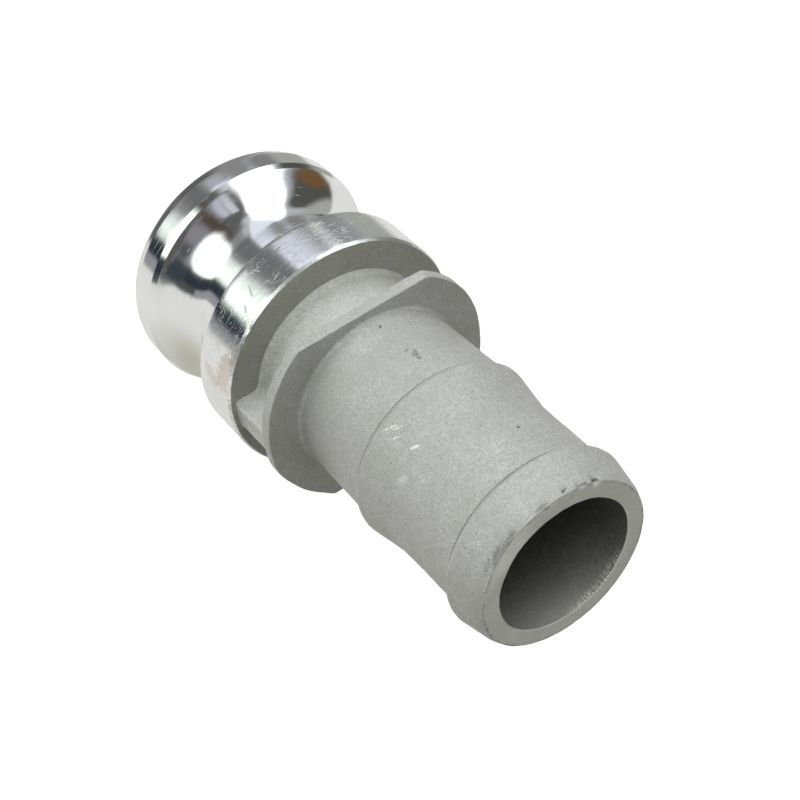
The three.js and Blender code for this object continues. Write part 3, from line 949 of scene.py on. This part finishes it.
# Panels of the studio: convex outlines of (bearing, elevation) in degrees, a colour and an edge softness.
# Bearing 0 is +Z and 90 is near +X. Later panels cover earlier ones.
ROOM = grey(0.25)
PANELS = (
    # Upper walls and ceiling.
    (((-172, 50), (-150, 62), (-120, 90), (-172, 90)), (0.46, 0.49, 0.50, 1), 8),
    (((-171, 84), (189, 82), (189, 95), (-171, 95)), (0.60, 0.62, 0.65, 1), 5),
    (((-122, 57), (10, 46), (12, 77), (-60, 82), (-122, 78)), grey(0.115), 4),
    (((-171, 35), (-151, 35), (-151, 48), (-171, 50)), (0.15, 0.16, 0.165, 1), 3),
    (((-147, 17), (-100, 17), (-100, 60), (-130, 54), (-147.5, 34)), (0.76, 0.80, 0.80, 1), 3),
    # The dark beam between the two soft boxes, and the greys under it.
    (((-104, 60), (-2, 2), (4, 2), (-15, 38), (-27, 53), (-45, 63), (-70, 68), (-100, 69)),
        (0.080, 0.058, 0.045, 1), 3),
    (((-66, 12), (-48, 46), (-28, 36), (-3, 4), (-12, -2), (-45, 0)), (0.25, 0.24, 0.265, 1), 3.5),
    (((-46, 15), (-41, 22), (-32, 17), (-20, 7), (-26, 2), (-40, 7)), (0.085, 0.10, 0.10, 1), 3.5),
    (((-24, -20), (-24, 5), (6, 7), (22, 3), (24, -20)), grey(0.105), 3),
    # The left soft box and two tall strips.
    (((-139, 12), (-74, 14), (-52, 20), (-42, 41), (-58, 57), (-92, 60), (-113, 56), (-141, 42)),
        (1.65, 1.8, 1.65, 1), 8),
    (((-19, 51), (-11, 54), (7, 9), (3, 9)), (0.55, 0.56, 0.66, 1), 1.5),
    (((-10, 57), (0, 62), (10.5, 10), (7.5, 10)), (0.66, 0.65, 0.72, 1), 1.3),
    (((1, 63), (11, 68), (15, 4), (11, 4)), grey(0.075), 1.6),
    # The right soft box and the wall beside it.
    (((14, 6), (42, -4), (150, 40), (152, 84), (40, 86), (12, 74)), (1.9, 2.0, 1.95, 1), 3.4),
    (((138, 58), (187, 54), (189, 80), (140, 82)), (1.9, 1.95, 1.95, 1), 5),
    (((146, 43.5), (187, 43.5), (187, 80), (152, 84)), (0.85, 0.88, 1.0, 1), 1.5),
    (((35, 2), (40, 17), (50, 29), (72, 42), (98, 50), (112, 50), (128, 44), (150, 36), (150, -12),
        (50, -12)), (0.46, 0.48, 0.51, 1), 3.5),
    (((39, -2), (43, 12), (62, 30), (94, 45), (108, 45), (118, 38), (120, 20), (112, -12), (52, -12)),
        grey(0.085, 0.06), 6),
    (((88, -12), (96, 8), (120, 24), (150, 10), (150, -12)), (0.38, 0.39, 0.36, 1), 8),
    (((42, -3), (46, 11), (60, 18), (76, 12), (72, -3), (50, -8)), (0.16, 0.088, 0.036, 1), 5),
    (((134, 16), (147, 16), (150, 33), (139, 33)), grey(0.22), 4),
    (((162, -8), (189, -8), (189, 30), (172, 30)), grey(0.12), 4),
    (((-171, -8), (-155, -8), (-155, 18), (-171, 26)), grey(0.12), 3),
    # The white table, darker straight below, and the part's shadow on it.
    (((-171, -20), (189, -20), (189, -92), (-171, -92)), grey(0.80, 0.010), 3),
    (((-172, -9), (-95, -6.5), (-55, -8), (-24, -20), (-10, -92), (-172, -92)), grey(0.80, 0.010), 1.5),
    (((-28, -34), (50, -6), (90, -4), (190, -14), (190, -92), (-28, -92)), grey(0.80, 0.01), 2),
    (((-171, -54), (189, -54), (189, -120), (-171, -120)), grey(0.50, 0.07), 26),
    (((26, -36), (62, -28), (100, -42), (128, -100), (48, -100)), grey(0.16, 0.1), 8),
    # The far edge of the table and the dark strip along it.
    (((-152, -8), (-95, -8), (-100, 2), (-152, 0)), (0.30, 0.30, 0.33, 1), 2.5),
    (((-100, -6), (-32, -10), (-26, 2), (-100, 2)), (0.07, 0.08, 0.085, 1), 2.5),
    (((-152, 11), (-100, 16), (-62, 14.5), (-62, 0), (-110, 0), (-152, 0)), (0.025, 0.033, 0.044, 1), 2.2),
    (((-68, 14.5), (-36, 6), (-22, -8), (-24, -16), (-62, -2)), (0.040, 0.055, 0.065, 1), 3.5),
)
# A plain dome lights the matt casting: bright overhead and dim below, where the part shades its own table.
DOME_LOW = grey(0.02, 0.2)
DOME_SIDE = grey(3.2, 0.13)
DOME_HIGH = grey(5.0)
DOME_TOP = Vector((-0.12, 0.97, -0.2)).normalized()
# How narrow the dome's bright part is, and the rise from its side colour to its high colour.
DOME_POWER = 8.0
DOME_SIDE_RISE = 0.35
DOME_HIGH_RISE = 0.85
# Bearings are measured from 10 degrees past -Z, so that no panel crosses the place where they wrap.
BEARING_TURN = 10


def studio_world():
    """Soft boxes, strips and walls as soft-edged panels in the directions that the bright metal mirrors."""
    world = bpy.data.worlds.new("studio")
    bpy.context.scene.world = world
    world.use_nodes = True
    nodes = Nodes(world.node_tree)
    towards = nodes.add("ShaderNodeTexCoord").outputs["Generated"]
    turn = math.radians(BEARING_TURN)
    side = STUDIO_SIDE * math.cos(turn) - STUDIO_AHEAD * math.sin(turn)
    ahead = STUDIO_AHEAD * math.cos(turn) + STUDIO_SIDE * math.sin(turn)
    turned = nodes.math("ARCTAN2", nodes.dot(towards, side), nodes.dot(towards, ahead))
    bearing = nodes.math("ADD", nodes.math("DEGREES", turned), BEARING_TURN)
    elevation = nodes.math("DEGREES", nodes.math("ARCSINE", nodes.dot(towards, STUDIO_UP)))
    settings = {0: bearing, 1: elevation, 2: 1.0}
    place_in_sky = nodes.add("ShaderNodeCombineXYZ", settings).outputs[0]

    def inside(outline, soft):
        """1 inside a convex outline, falling softly to 0 across its edges."""
        middle = np.mean(outline, axis=0)
        mask = 1.0
        for start, end in zip(outline, outline[1:] + outline[:1]):
            along = np.subtract(end, start) / np.linalg.norm(np.subtract(end, start))
            normal = np.array([-along[1], along[0]])
            if normal @ (middle - start) < 0:
                normal = -normal
            away = nodes.dot(place_in_sky, (normal[0], normal[1], -float(normal @ start)))
            mask = nodes.math("MULTIPLY", mask, nodes.remap(away, -soft, soft, smooth=True))
        return mask

    colour = ROOM
    for outline, tint, soft in PANELS:
        colour = nodes.blend(inside(outline, soft), colour, tint)
    rise = nodes.remap(nodes.dot(towards, DOME_TOP), -1, 1)
    dome_tint = nodes.blend(nodes.remap(rise, DOME_SIDE_RISE, DOME_HIGH_RISE), DOME_SIDE, DOME_HIGH)
    dome = nodes.blend(nodes.math("POWER", rise, DOME_POWER), DOME_LOW, dome_tint)
    # The camera sees plain white, matt surfaces are lit by the dome, and bright ones mirror the panels.
    path = nodes.add("ShaderNodeLightPath").outputs
    white = nodes.add("ShaderNodeBackground", {"Color": grey(1.0)}).outputs[0]
    mirrored = nodes.add("ShaderNodeBackground", {"Color": colour}).outputs[0]
    soft = nodes.add("ShaderNodeBackground", {"Color": dome}).outputs[0]
    lit = nodes.add("ShaderNodeMixShader", {0: path["Is Diffuse Ray"], 1: mirrored, 2: soft}).outputs[0]
    seen = nodes.add("ShaderNodeMixShader", {0: path["Is Camera Ray"], 1: lit, 2: white}).outputs[0]
    output = nodes.add("ShaderNodeOutputWorld")
    nodes.feed(output.inputs["Surface"], seen)
    # Sampled only along reflected rays, so that each kind of ray sees its own light.
    world.cycles.sampling_method = "NONE"


def floor():
    """A plain pale floor under the sealing face. Only the camera sees it, so it doesn't light the metal."""
    half = 1.5
    mesh = bpy.data.meshes.new("floor")
    corners = [(-half, -half, 0), (half, -half, 0), (half, half, 0), (-half, half, 0)]
    mesh.from_pydata(corners, [], [(0, 1, 2, 3)])
    material, nodes, shader, _ = start_material("floor")
    nodes.feed(shader.inputs["Base Color"], grey(0.55))
    nodes.feed(shader.inputs["Roughness"], 0.9)
    nodes.feed(shader.inputs["Emission Color"], grey(1.0))
    nodes.feed(shader.inputs["Emission Strength"], 1.0)
    mesh.materials.append(material)
    piece = bpy.data.objects.new("floor", mesh)
    bpy.context.scene.collection.objects.link(piece)
    piece.visible_glossy = False
    piece.visible_diffuse = False
    piece.visible_transmission = False


def camera():
    """The photograph's viewpoint: above and behind the hose end, rolled so that the part lies aslant."""
    aim = Vector((0.00175, -0.00088, 0.05749))
    distance = 0.345
    azimuth = math.radians(114.0)
    elevation = math.radians(38.03)
    roll = math.radians(133.3)
    back = Vector((
        math.cos(elevation) * math.cos(azimuth),
        math.cos(elevation) * math.sin(azimuth),
        math.sin(elevation),
    ))
    level_right = Vector((0, 0, 1)).cross(back).normalized()
    level_up = back.cross(level_right)
    right = level_right * math.cos(roll) + level_up * math.sin(roll)
    up = level_up * math.cos(roll) - level_right * math.sin(roll)
    data = bpy.data.cameras.new("camera")
    data.sensor_width = 36.0
    data.lens = 78.58
    data.clip_start = 0.01
    piece = bpy.data.objects.new("camera", data)
    axes = Matrix((right, up, back)).transposed().to_4x4()
    axes.translation = aim + back * distance
    piece.matrix_world = axes
    bpy.context.scene.collection.objects.link(piece)
    bpy.context.scene.camera = piece


studio_world()
floor()
camera()
bpy.context.scene.view_settings.view_transform = "Standard"
